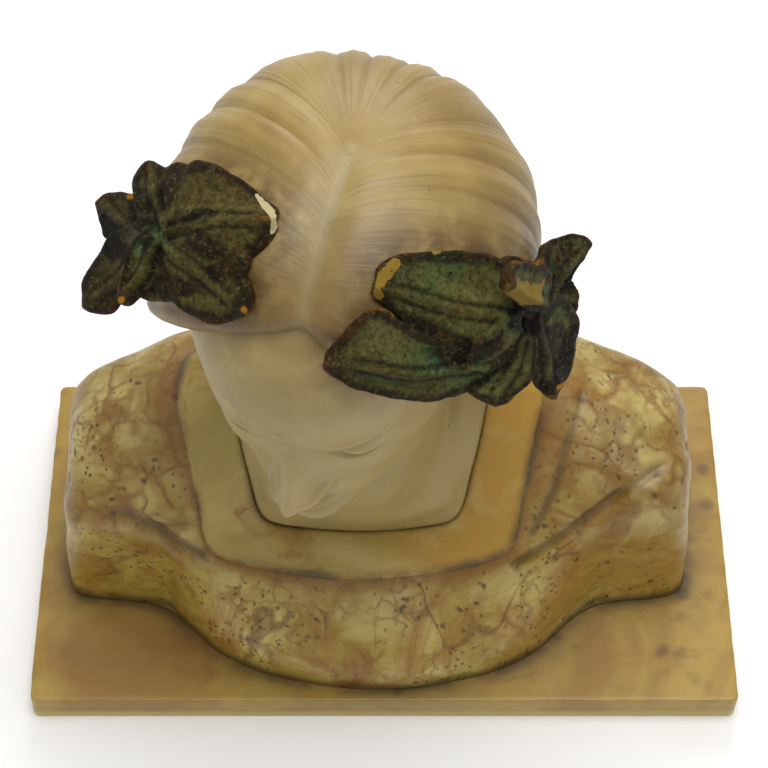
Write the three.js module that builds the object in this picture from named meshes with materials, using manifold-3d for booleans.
// Carved alabaster bust of a woman with a bowed head: a flat slab, a dress block cut off at the
// shoulders, a head carved in one with its neck and chest, and two sprays of painted leaves.
// Millimetres, +Z up. She faces -Y, and the origin is on the underside of the slab, at its centre.
import * as THREE from 'three';
import { mergeVertices } from 'three/addons/utils/BufferGeometryUtils.js';
import Module from 'manifold-3d';

// Driving dimensions
const shoulderSpan = 210;        // across the two cut shoulders
const slabThickness = 12;
const slabSideMargin = 12.8;     // slab beyond the dress on each side
const slabFrontMargin = 4.2;
const slabBackMargin = 15.5;
const slabCornerRadius = 2.5;
const slabEdgeEase = 0.9;
const jointGap = 0.3;            // between two stones that meet
const headHeight = 122;          // chin to crown under the hair
const headLift = 149;            // ear level above the slab
const headForward = 6;
const headAside = -10.5;
const headTurn = 17;             // degrees, towards her right
const headNod = 12;              // degrees, forwards
const neckRadius = 27;
const chestPocketDepth = 16;     // pocket floor below the lowest point of the neckline
const necklineDrop = 1.2;        // chest surface below the raised neckline band
const neckbandRaise = 1.4;       // neckline band above the yoke
const leafThickness = 3.6;

// Small maths helpers
const radians = THREE.MathUtils.degToRad;
const clamp = THREE.MathUtils.clamp;
const bell = (...terms) => Math.exp(-terms.reduce((sum, t) => sum + t * t, 0));

// A smooth curve through rows of [position, value, value, ...], read at one position.
function through(rows, at, column) {
  const last = rows.length - 1;
  let i = 0;
  while (i < last - 1 && at > rows[i + 1][0]) i += 1;
  const slope = (k) => {
    const a = rows[Math.max(k - 1, 0)];
    const b = rows[Math.min(k + 1, last)];
    return (b[column] - a[column]) / (b[0] - a[0]);
  };
  const [low, high] = [rows[i], rows[i + 1]];
  const span = high[0] - low[0];
  const t = clamp((at - low[0]) / span, 0, 1);
  const t2 = t * t;
  const t3 = t2 * t;
  return (2 * t3 - 3 * t2 + 1) * low[column] + (t3 - 2 * t2 + t) * span * slope(i)
    + (3 * t2 - 2 * t3) * high[column] + (t3 - t2) * span * slope(i + 1);
}

// A closed surface from rings of points, each ring counter-clockwise seen from above, ordered
// from the bottom up, with one point that closes each end.
function closedSurface(bottom, rings, top) {
  const count = rings[0].length;
  const positions = [bottom, ...rings.flat(), top].flatMap((p) => [p.x, p.y, p.z]);
  const index = [];
  const at = (ring, i) => 1 + ring * count + (i % count);
  const topIndex = 1 + rings.length * count;
  for (let i = 0; i < count; i += 1) {
    index.push(0, at(0, i + 1), at(0, i));
    index.push(topIndex, at(rings.length - 1, i), at(rings.length - 1, i + 1));
    for (let ring = 0; ring < rings.length - 1; ring += 1) {
      index.push(at(ring, i), at(ring, i + 1), at(ring + 1, i + 1));
      index.push(at(ring, i), at(ring + 1, i + 1), at(ring + 1, i));
    }
  }
  const geometry = new THREE.BufferGeometry();
  geometry.setAttribute('position', new THREE.Float32BufferAttribute(positions, 3));
  geometry.setIndex(index);
  return geometry;
}

// Joining and cutting with manifold-3d
const wasm = await Module();
wasm.setup();

function solidFrom(geometry) {
  const bare = geometry.clone();
  bare.deleteAttribute('normal');
  bare.deleteAttribute('uv');
  const merged = mergeVertices(bare, 1e-4);
  return new wasm.Manifold(new wasm.Mesh({
    numProp: 3,
    vertProperties: merged.getAttribute('position').array,
    triVerts: new Uint32Array(merged.index.array),
  }));
}

function geometryFrom(solid) {
  const mesh = solid.getMesh();
  const geometry = new THREE.BufferGeometry();
  geometry.setAttribute('position', new THREE.BufferAttribute(new Float32Array(mesh.vertProperties), 3));
  geometry.setIndex(new THREE.BufferAttribute(new Uint32Array(mesh.triVerts), 1));
  geometry.computeVertexNormals();
  return geometry;
}

const largestBody = (solid) => solid.decompose().sort((a, b) => b.volume() - a.volume())[0];

// Slab
const dressFrontReach = 0.290 * shoulderSpan;
const dressBackReach = 0.228 * shoulderSpan;
const dressHalfWidth = 0.511 * shoulderSpan;
const slabWidth = 2 * (dressHalfWidth + slabSideMargin);
const slabDepth = dressFrontReach + slabFrontMargin + dressBackReach + slabBackMargin;
const bustCentreY = -slabDepth / 2 + slabFrontMargin + dressFrontReach;
const seat = slabThickness + jointGap;

function slabGeometry() {
  const halfWidth = slabWidth / 2 - slabEdgeEase;
  const halfDepth = slabDepth / 2 - slabEdgeEase;
  const outline = new THREE.Shape();
  for (const [cornerX, cornerY, start] of [[1, 1, 0], [-1, 1, 90], [-1, -1, 180], [1, -1, 270]]) {
    outline.absarc(
      cornerX * (halfWidth - slabCornerRadius),
      cornerY * (halfDepth - slabCornerRadius),
      slabCornerRadius,
      radians(start),
      radians(start + 90),
      false,
    );
  }
  const geometry = new THREE.ExtrudeGeometry(outline, {
    depth: slabThickness - 2 * slabEdgeEase,
    bevelThickness: slabEdgeEase,
    bevelSize: slabEdgeEase,
    bevelSegments: 1,
    curveSegments: 3,
  });
  return geometry.translate(0, 0, slabEdgeEase);
}

// Dress. Each ring runs through nine hand-placed stations on her left side, from the front centre
// to the back centre, mirrored to her right. Shares of the shoulder span: out, back, up, and at a
// corner how far it is cut back on either side.
const necklineAside = -0.038;
const shoulderAside = -0.012;
const dressRings = {
  neckline: [
    [0, -0.100, 0.181, 0], [0.154, -0.093, 0.200, 0.014], [0.178, -0.048, 0.290, 0],
    [0.194, -0.005, 0.366, 0], [0.202, 0.040, 0.405, 0], [0.190, 0.085, 0.422, 0],
    [0.140, 0.120, 0.428, 0], [0.072, 0.136, 0.428, 0], [0, 0.140, 0.428, 0],
  ],
  bandEdge: [
    [0, -0.169, 0.146, 0], [0.240, -0.143, 0.180, 0.018], [0.257, -0.083, 0.256, 0],
    [0.273, -0.024, 0.332, 0], [0.285, 0.030, 0.371, 0], [0.274, 0.090, 0.382, 0],
    [0.210, 0.140, 0.390, 0], [0.110, 0.164, 0.396, 0], [0, 0.170, 0.398, 0],
  ],
  upperTurn: [
    [0, -0.240, 0.106, 0], [0.222, -0.208, 0.122, 0.04], [0.322, -0.126, 0.204, 0],
    [0.456, -0.090, 0.262, 0.012], [0.470, 0.020, 0.300, 0], [0.468, 0.126, 0.290, 0.012],
    [0.322, 0.180, 0.324, 0], [0.172, 0.202, 0.346, 0], [0, 0.208, 0.352, 0],
  ],
  lowerTurn: [
    [0, -0.284, 0.054, 0], [0.212, -0.253, 0.058, 0.045], [0.345, -0.137, 0.100, 0],
    [0.496, -0.104, 0.150, 0.012], [0.500, 0.020, 0.168, 0], [0.492, 0.142, 0.158, 0.010],
    [0.338, 0.206, 0.150, 0], [0.172, 0.222, 0.150, 0], [0, 0.226, 0.150, 0],
  ],
  foot: [
    [0, -0.290, 0, 0], [0.215, -0.258, 0, 0.05], [0.352, -0.142, 0, 0], [0.508, -0.112, 0, 0.016],
    [0.511, 0.020, 0, 0], [0.500, 0.144, 0, 0.008], [0.338, 0.205, 0, 0], [0.172, 0.224, 0, 0],
    [0, 0.228, 0, 0],
  ],
};
const cornerStations = [1, 3, 5, 11, 13, 15];
const ringPoints = 64;

// The stations of one ring as a closed smooth loop, in millimetres.
function dressLoop(stations, aside = 0) {
  const left = stations.slice(1, -1).reverse().map(([out, ...rest]) => [-out, ...rest]);
  const ring = [...stations, ...left];
  const place = (k) => {
    const [out, back, up] = ring[(k + ring.length) % ring.length];
    return new THREE.Vector3(
      (out + aside) * shoulderSpan,
      back * shoulderSpan + bustCentreY,
      up * shoulderSpan + seat,
    );
  };
  const points = ring.flatMap(([, , , cut], k) => {
    const corner = place(k);
    const towards = (other) => corner.clone().addScaledVector(
      other.clone().sub(corner).normalize(),
      Math.max(cut, 0.004) * shoulderSpan,
    );
    return cornerStations.includes(k) ? [towards(place(k - 1)), towards(place(k + 1))] : [corner];
  });
  const curve = new THREE.CatmullRomCurve3(points, true, 'centripetal');
  return Array.from({ length: ringPoints }, (_, i) => curve.getPoint(i / ringPoints));
}

// A loop moved inwards, level, by a distance.
function insetLoop(loop, by) {
  return loop.map((p, i) => {
    const before = loop[(i + loop.length - 1) % loop.length];
    const after = loop[(i + 1) % loop.length];
    const along = new THREE.Vector2(after.x - before.x, after.y - before.y).normalize();
    return new THREE.Vector3(p.x - along.y * by, p.y + along.x * by, p.z);
  });
}

const necklineLoop = dressLoop(dressRings.neckline, necklineAside);
const bandLow = dressLoop(dressRings.bandEdge, necklineAside);
const bandHigh = insetLoop(bandLow, 0.4 * neckbandRaise)
  .map((p) => p.clone().setZ(p.z + neckbandRaise));
const bodiceLoops = [
  dressLoop(dressRings.foot, shoulderAside),
  dressLoop(dressRings.lowerTurn, shoulderAside),
  dressLoop(dressRings.upperTurn, shoulderAside),
  bandLow,
];
const necklineLow = Math.min(...necklineLoop.map((p) => p.z));
const pocketFloor = necklineLow - chestPocketDepth;

// Rings between the given loops, each column a smooth curve from the first to the last.
function loftedRings(loops, stepsBetween) {
  const columns = loops[0].map((_, i) => (
    new THREE.CatmullRomCurve3(loops.map((loop) => loop[i]), false, 'catmullrom', 0.5)
  ));
  const total = (loops.length - 1) * stepsBetween;
  return Array.from({ length: total + 1 }, (_, k) => columns.map((c) => c.getPoint(k / total)));
}

const loopCentre = (loop) => loop.reduce((sum, p) => sum.add(p), new THREE.Vector3())
  .divideScalar(loop.length);

function dressGeometry() {
  const outside = loftedRings(bodiceLoops, 3);
  const bandMiddle = bandHigh.map((p, i) => p.clone().lerp(necklineLoop[i], 0.5));
  const floorRing = necklineLoop.map((p) => new THREE.Vector3(p.x, p.y, pocketFloor));
  const rings = [...outside, bandHigh, bandMiddle, necklineLoop, floorRing];
  return closedSurface(loopCentre(bodiceLoops[0]), rings, loopCentre(floorRing));
}

// Head frame: shares of the head's height, x to her left, y back, z up from the chin.
const earLevel = 0.42;
const headPlace = new THREE.Vector3(headAside, bustCentreY - headForward, seat + headLift);
const headPose = new THREE.Quaternion()
  .setFromAxisAngle(new THREE.Vector3(0, 0, 1), -radians(headTurn))
  .multiply(new THREE.Quaternion().setFromAxisAngle(new THREE.Vector3(1, 0, 0), radians(headNod)));

function fromHead(x, y, z) {
  return new THREE.Vector3(x, y, z - earLevel)
    .multiplyScalar(headHeight)
    .applyQuaternion(headPose)
    .add(headPlace);
}

// Face and skull: level slices given as [height, front, back, half width].
const skullSlices = [
  [-0.012, -0.360, -0.330, 0.010],
  [0.000, -0.398, -0.270, 0.052],
  [0.030, -0.420, -0.190, 0.098],
  [0.080, -0.428, -0.090, 0.138],
  [0.140, -0.420, 0.010, 0.184],
  [0.220, -0.425, 0.120, 0.232],
  [0.320, -0.432, 0.220, 0.272],
  [0.420, -0.436, 0.310, 0.302],
  [0.520, -0.438, 0.370, 0.318],
  [0.600, -0.448, 0.405, 0.330],
  [0.700, -0.436, 0.420, 0.340],
  [0.800, -0.392, 0.410, 0.332],
  [0.880, -0.325, 0.360, 0.295],
  [0.950, -0.225, 0.260, 0.215],
  [0.990, -0.110, 0.150, 0.110],
  [1.000, -0.020, 0.060, 0.020],
];
// The nose in profile: [height, how far it stands out, half width].
const noseProfile = [
  [0.245, 0.000, 0.050],
  [0.268, 0.012, 0.052],
  [0.284, 0.056, 0.056],
  [0.300, 0.102, 0.052],
  [0.322, 0.108, 0.048],
  [0.370, 0.076, 0.044],
  [0.430, 0.046, 0.038],
  [0.490, 0.018, 0.036],
  [0.540, 0.000, 0.040],
];
const faceRows = [-0.006, 0.01, 0.035, 0.06, 0.09, 0.12, 0.14, 0.163, 0.183, 0.205, 0.235, 0.262,
  0.282, 0.298, 0.322, 0.36, 0.41, 0.455, 0.485, 0.51, 0.54, 0.575, 0.62, 0.68, 0.75, 0.82, 0.88,
  0.93, 0.965, 0.988];
const faceColumns = 32;

// How far the face stands out in front of the plain skull at (x, z).
function faceRelief(x, z) {
  const side = Math.abs(x);
  let out = 0;
  if (z > noseProfile[0][0] && z < noseProfile.at(-1)[0]) {
    const width = through(noseProfile, z, 2);
    out += through(noseProfile, z, 1) * bell(1.1 * x / width);
  }
  out += 0.040 * bell((side - 0.056) / 0.026, (z - 0.300) / 0.024);
  out += 0.022 * bell(x / 0.12, (z - 0.190) / 0.062);
  out += 0.026 * bell(x / 0.080, (z - 0.207) / 0.016);
  out += 0.030 * bell(x / 0.066, (z - 0.163) / 0.018);
  out -= 0.016 * bell(x / 0.085, (z - 0.186) / 0.007);
  out -= 0.018 * bell(x / 0.090, (z - 0.130) / 0.020);
  out += 0.026 * bell(x / 0.080, (z - 0.062) / 0.042);
  out -= 0.046 * bell((side - 0.118) / 0.072, (z - 0.512) / 0.044);
  out += 0.034 * bell((side - 0.148) / 0.052, (z - 0.498) / 0.034);
  out += 0.014 * bell((side - 0.120) / 0.095, (z - 0.580) / 0.024);
  out += 0.016 * bell((side - 0.195) / 0.070, (z - 0.390) / 0.062);
  return out;
}

function faceGeometry() {
  const rings = faceRows.map((z) => {
    const front = through(skullSlices, z, 1);
    const back = through(skullSlices, z, 2);
    const half = through(skullSlices, z, 3);
    const middle = front + 0.52 * (back - front);
    return Array.from({ length: faceColumns }, (_, i) => {
      const u = (i / faceColumns) * 2 - 1;
      const turn = Math.PI * Math.sign(u) * Math.abs(u) ** 1.5;
      const x = half * Math.sign(turn) * Math.abs(Math.sin(turn)) ** 0.92;
      const ahead = Math.cos(turn);
      const depth = ahead > 0 ? middle - front : back - middle;
      const y = middle - depth * Math.sign(ahead) * Math.abs(ahead) ** 0.92;
      return fromHead(x, ahead > 0 ? y - faceRelief(x, z) * Math.min(1, 3 * ahead) : y, z);
    });
  });
  return closedSurface(fromHead(0, -0.345, -0.012), rings, fromHead(0, 0.02, 1));
}

// Hair: an egg round the skull that opens over the face, with a parting, a crown where the locks
// fan out, and broad locks that run back from the parting.
const hairCentre = [0, 0.02, 0.58];
const hairShares = { halfWidth: 0.460, front: 0.500, back: 0.500, up: 0.462, down: 0.420 };
const hairFullness = 2.25;       // 2 would be an ellipsoid; more fills the corners
const partingAside = 0.035;
const faceOpening = {
  sideDegrees: 69, middle: 0.30, up: 0.63, power: 1.36, start: 0.88, roll: 0.26,
};
const crownPolar = 0.12;         // radians behind the top of the head
const partingPolar = 1.95;       // radians in front, where the locks lie square to the parting
const hairRows = 23;
const hairColumns = 42;

// Which lock a direction lies on: confocal hyperbolas about the parting, 0 at the back.
function lockAngle(dx, dy, dz) {
  const polar = Math.acos(clamp(dz, -1, 1));
  const flat = Math.hypot(dx, dy) || 1;
  const [px, py] = [polar * dx / flat - 2 * partingAside, polar * dy / flat];
  const toCrown = Math.hypot(px, py - crownPolar);
  const toFront = Math.hypot(px, py + partingPolar);
  return Math.acos(clamp((toFront - toCrown) / (crownPolar + partingPolar), -1, 1));
}

function plainHairRadius(dx, dy, dz) {
  const half = dy < 0 ? hairShares.front : hairShares.back;
  const tall = dz > 0 ? hairShares.up : hairShares.down;
  const sum = Math.abs(dx / hairShares.halfWidth) ** hairFullness
    + Math.abs(dy / half) ** hairFullness + Math.abs(dz / tall) ** hairFullness;
  return sum ** (-1 / hairFullness);
}

function hairRadius(dx, dy, dz) {
  let radius = plainHairRadius(dx, dy, dz);
  const lock = lockAngle(dx, dy, dz);
  const side = dx < 0 ? 0.4 : 0;
  const fade = 1 - bell((dx - 2 * partingAside) / 0.10);
  radius += 0.013 * fade * Math.cos(9 * lock + side);
  const before = clamp((0.25 - dy) / 0.3, 0, 1) * clamp(dz * 3, 0, 1);
  radius -= 0.022 * bell((dx - 2 * partingAside) / 0.07) * before;
  const turn = Math.abs(Math.atan2(dx, -dy)) / radians(faceOpening.sideDegrees);
  const z = hairCentre[2] + radius * dz;
  const height = Math.max(0, (z - faceOpening.middle) / faceOpening.up);
  const outside = turn ** faceOpening.power + height ** faceOpening.power - faceOpening.start;
  const roll = clamp(outside / faceOpening.roll, 0, 1);
  const inner = 0.66 * radius;
  return inner + (radius - inner) * Math.sqrt(1 - (1 - roll) ** 2);
}

function hairGeometry(grow = 0) {
  const rings = Array.from({ length: hairRows }, (_, row) => {
    const polar = Math.PI * (1 - (row + 0.7) / (hairRows + 0.4));
    return Array.from({ length: hairColumns }, (_unused, i) => {
      const turn = ((i + 0.5) / hairColumns) * 2 * Math.PI - Math.PI / 2;
      const dx = Math.sin(polar) * Math.cos(turn);
      const dy = Math.sin(polar) * Math.sin(turn);
      const dz = Math.cos(polar);
      const radius = hairRadius(dx, dy, dz) + grow / headHeight;
      return fromHead(
        hairCentre[0] + radius * dx,
        hairCentre[1] + radius * dy,
        hairCentre[2] + radius * dz,
      );
    });
  });
  const down = fromHead(0, hairCentre[1], hairCentre[2] - 0.66 * hairShares.down);
  const top = hairRadius(0, 0, 1) + grow / headHeight;
  const up = fromHead(0, hairCentre[1], hairCentre[2] + top);
  return closedSurface(down, rings, up);
}

// Knot of hair low on the nape.
const knotCentre = [0, 0.435, 0.36];
const knotRadii = [0.215, 0.125, 0.155];

function knotGeometry() {
  const geometry = new THREE.SphereGeometry(1, 16, 10);
  const position = geometry.getAttribute('position');
  for (let i = 0; i < position.count; i += 1) {
    const p = fromHead(
      knotCentre[0] + knotRadii[0] * position.getX(i),
      knotCentre[1] + knotRadii[1] * position.getY(i),
      knotCentre[2] + knotRadii[2] * position.getZ(i),
    );
    position.setXYZ(i, p.x, p.y, p.z);
  }
  return geometry;
}

// Neck and chest: a plug that drops into the pocket of the dress and rises into the head.
function chestGeometry() {
  const edge = insetLoop(necklineLoop, jointGap);
  const floor = edge.map((p) => new THREE.Vector3(p.x, p.y, pocketFloor + jointGap));
  const lip = edge.map((p) => new THREE.Vector3(p.x, p.y, p.z - necklineDrop));
  const base = new THREE.Vector3(
    necklineAside * shoulderSpan,
    bustCentreY + 0.004 * shoulderSpan,
    seat + 0.375 * shoulderSpan,
  );
  const crown = fromHead(0, 0.02, 0.34);
  const axis = crown.clone().sub(base);
  const neckRing = (along, radius, lean) => edge.map((p) => {
    const turn = Math.atan2(p.y - base.y, p.x - base.x);
    const centre = base.clone().addScaledVector(axis, along);
    return new THREE.Vector3(
      centre.x + radius * Math.cos(turn),
      centre.y + radius * Math.sin(turn),
      centre.z + lean * radius * Math.sin(turn),
    );
  });
  const collar = neckRing(0.04, 1.02 * neckRadius, 0.58);
  const mid = lip.map((p, i) => p.clone().lerp(collar[i], 0.55));
  const rings = [floor, lip, mid, collar, neckRing(0.32, neckRadius, 0.35),
    neckRing(0.65, neckRadius, 0.1), neckRing(0.9, 0.96 * neckRadius, 0)];
  return closedSurface(loopCentre(floor), rings, base.clone().addScaledVector(axis, 1));
}

const hairSolid = solidFrom(hairGeometry());
const headSolid = largestBody(solidFrom(faceGeometry())
  .add(hairSolid)
  .add(solidFrom(knotGeometry()))
  .add(solidFrom(chestGeometry())));

// Leaves. A lobe is a blade, in head shares: [root, tip, the way its face looks, half widths on one
// side, half widths on the other side, how far its middle bows out, how far its edges droop].
const leftSpray = [
  [[0.473, -0.111, 0.795], [0.168, -0.214, 1.017], [0.62, -0.38, 0.68],
   [0.063, 0.089, 0.108, 0.085, 0.052, 0.03, 0.012],
   [0.095, 0.114, 0.124, 0.123, 0.092, 0.071, 0.03], 0.03, 0.016],
  [[0.443, -0.212, 0.757], [0.1, -0.378, 0.941], [0.58, -0.62, 0.52],
   [0.037, 0.065, 0.082, 0.08, 0.059, 0.032, 0.012],
   [0.034, 0.04, 0.072, 0.113, 0.133, 0.052, 0.016], 0.04, 0.012],
  [[0.482, -0.119, 0.763], [0.45, -0.297, 0.716], [0.5, -0.31, 0.81],
   [0.037, 0.049, 0.06, 0.056, 0.038, 0.02, 0.009],
   [0.051, 0.06, 0.075, 0.106, 0.098, 0.07, 0.022], 0.008, 0.01],
  [[0.491, -0.065, 0.761], [0.557, -0.144, 0.469], [0.8, -0.51, 0.32],
   [0.075, 0.101, 0.108, 0.104, 0.079, 0.045, 0.015],
   [0.033, 0.041, 0.052, 0.047, 0.038, 0.019, 0.009], 0, 0.012],
  [[0.494, -0.062, 0.757], [0.556, 0.17, 0.687], [0.74, 0.01, 0.67],
   [0.05, 0.059, 0.072, 0.088, 0.068, 0.042, 0.017],
   [0.012, 0.014, 0.016, 0.022, 0.02, 0.013, 0.008], 0, 0.008],
  [[0.473, -0.11, 0.778], [0.384, -0.256, 0.82], [0.82, -0.38, 0.42],
   [0.029, 0.034, 0.04, 0.05, 0.043, 0.021, 0.009],
   [0.049, 0.056, 0.062, 0.056, 0.051, 0.04, 0.014], 0.02, 0],
  [[0.489, -0.041, 0.746], [0.398, -0.059, 0.906], [0.87, -0.14, 0.48],
   [0.038, 0.047, 0.046, 0.046, 0.035, 0.018, 0.009],
   [0.052, 0.061, 0.065, 0.068, 0.054, 0.044, 0.022], 0.016, 0],
  [[0.492, -0.053, 0.703], [0.513, -0.117, 0.477], [0.94, -0.3, 0.17],
   [0.05, 0.055, 0.061, 0.065, 0.068, 0.07, 0.022],
   [0.057, 0.068, 0.066, 0.06, 0.034, 0.018, 0.009], 0, 0],
  [[0.494, -0.018, 0.728], [0.553, 0.051, 0.639], [0.87, -0.11, 0.48],
   [0.054, 0.066, 0.058, 0.051, 0.044, 0.022, 0.01],
   [0.043, 0.048, 0.053, 0.052, 0.044, 0.039, 0.022], 0, 0],
  [[0.508, -0.045, 0.749], [0.437, -0.122, 0.996], [0.96, -0.18, 0.22],
   [0.017, 0.022, 0.026, 0.023, 0.017, 0.011, 0.007],
   [0.062, 0.07, 0.077, 0.075, 0.066, 0.046, 0.022], 0.012, 0.01],
];
const rightSpray = [
  [[-0.338, -0.177, 0.95], [-0.071, -0.126, 1.06], [-0.3, -0.32, 0.9],
   [0.082, 0.14, 0.142, 0.121, 0.072, 0.032, 0.012],
   [0.058, 0.081, 0.108, 0.104, 0.076, 0.041, 0.014], 0.03, 0.022],
  [[-0.333, -0.191, 0.949], [-0.085, -0.322, 0.979], [-0.37, -0.52, 0.77],
   [0.053, 0.062, 0.067, 0.067, 0.061, 0.039, 0.014],
   [0.072, 0.097, 0.104, 0.098, 0.073, 0.036, 0.013], 0.022, 0.016],
  [[-0.329, -0.186, 0.958], [-0.385, -0.341, 0.89], [-0.06, -0.38, 0.92],
   [0.022, 0.026, 0.037, 0.039, 0.029, 0.019, 0.009],
   [0.051, 0.058, 0.057, 0.045, 0.031, 0.016, 0.008], 0, 0.012],
  [[-0.32, -0.189, 0.964], [-0.427, -0.009, 0.947], [-0.38, -0.14, 0.92],
   [0.045, 0.051, 0.057, 0.06, 0.056, 0.043, 0.02],
   [0.038, 0.045, 0.053, 0.056, 0.039, 0.021, 0.009], 0.01, 0.012],
  [[-0.37, -0.186, 0.91], [-0.557, -0.075, 0.787], [-0.64, -0.27, 0.72],
   [0.05, 0.057, 0.064, 0.065, 0.058, 0.027, 0.011],
   [0.05, 0.054, 0.059, 0.064, 0.05, 0.032, 0.012], 0, 0.012],
  [[-0.357, -0.202, 0.924], [-0.527, -0.299, 0.693], [-0.48, -0.63, 0.62],
   [0.019, 0.022, 0.026, 0.051, 0.05, 0.024, 0.01],
   [0.071, 0.081, 0.091, 0.087, 0.072, 0.05, 0.016], 0, 0.012],
  [[-0.317, -0.178, 0.963], [-0.104, -0.225, 1.02], [-0.32, -0.45, 0.83],
   [0.058, 0.069, 0.062, 0.052, 0.035, 0.021, 0.009],
   [0.047, 0.058, 0.067, 0.073, 0.059, 0.049, 0.016], 0.022, 0],
  [[-0.334, -0.193, 0.943], [-0.306, -0.31, 0.868], [-0.53, -0.54, 0.65],
   [0.043, 0.05, 0.06, 0.072, 0.063, 0.053, 0.022],
   [0.049, 0.056, 0.063, 0.075, 0.08, 0.07, 0.022], 0.012, 0],
  [[-0.32, -0.161, 0.976], [-0.367, -0.018, 0.963], [-0.56, -0.11, 0.82],
   [0.039, 0.045, 0.05, 0.055, 0.059, 0.052, 0.022],
   [0.059, 0.073, 0.079, 0.07, 0.055, 0.034, 0.012], 0.014, 0],
  [[-0.326, -0.202, 0.939], [-0.503, -0.108, 0.751], [-0.77, -0.32, 0.56],
   [0.041, 0.051, 0.059, 0.068, 0.05, 0.024, 0.01],
   [0.065, 0.076, 0.083, 0.079, 0.076, 0.045, 0.015], 0, 0],
];
const lobeStations = [0, 0.2, 0.4, 0.6, 0.8, 0.93, 1];   // along a lobe, where its half widths are
const lobeSteps = 5;
const lobeAcross = 4;

function lobeGeometry([root, tip, facing, oneSide, otherSide, bow, droop]) {
  const start = new THREE.Vector3(...root);
  const along = new THREE.Vector3(...tip).sub(start);
  const face = new THREE.Vector3(...facing).projectOnPlane(along.clone().normalize()).normalize();
  const across = new THREE.Vector3().crossVectors(face, along).normalize();
  const widths = lobeStations.map((t, i) => [t, oneSide[i], otherSide[i]]);
  const place = (t, c, isUpper) => {
    const out = c * through(widths, t, c > 0 ? 1 : 2);
    const rise = 4 * bow * t * (1 - t) - droop * c * c - (isUpper ? 0 : leafThickness / headHeight);
    const p = start.clone().addScaledVector(along, t).addScaledVector(across, out)
      .addScaledVector(face, rise);
    return fromHead(p.x, p.y, p.z);
  };
  const steps = Array.from({ length: lobeAcross + 1 }, (_, i) => 1 - 2 * i / lobeAcross);
  const rings = Array.from({ length: lobeSteps }, (_, k) => {
    const t = (k / (lobeSteps - 1)) * 0.94;
    return [...steps.map((c) => place(t, c, true)), ...steps.map((c) => place(t, -c, false))];
  });
  const middleOf = (t) => place(t, 0, true).lerp(place(t, 0, false), 0.5);
  return closedSurface(middleOf(-0.04), rings, middleOf(1));
}

const hairClearance = solidFrom(hairGeometry(jointGap));
const faceClearance = solidFrom(faceGeometry());

function sprayGeometry(lobes) {
  const joined = lobes.map((lobe) => solidFrom(lobeGeometry(lobe)))
    .reduce((sum, lobe) => sum.add(lobe));
  return geometryFrom(largestBody(joined.subtract(hairClearance).subtract(faceClearance)));
}

// Finishes
const honeyStone = new THREE.MeshStandardMaterial({ color: 0xc2a468, roughness: 0.35 });
const veinedStone = new THREE.MeshStandardMaterial({ color: 0xc4b27c, roughness: 0.4 });
const paleStone = new THREE.MeshStandardMaterial({ color: 0xcdc0a0, roughness: 0.45 });
const leafPaint = new THREE.MeshStandardMaterial({ color: 0x3f4a35, roughness: 0.55, metalness: 0.15 });

const bust = new THREE.Group();

function addPiece(name, geometry, material) {
  const mesh = new THREE.Mesh(geometry, material);
  mesh.name = name;
  bust.add(mesh);
}

addPiece('plinth', slabGeometry(), honeyStone);
addPiece('dress', dressGeometry(), veinedStone);
addPiece('head', geometryFrom(headSolid), paleStone);
addPiece('leaf_spray_left', sprayGeometry(leftSpray), leafPaint);
addPiece('leaf_spray_right', sprayGeometry(rightSpray), leafPaint);

export default bust;
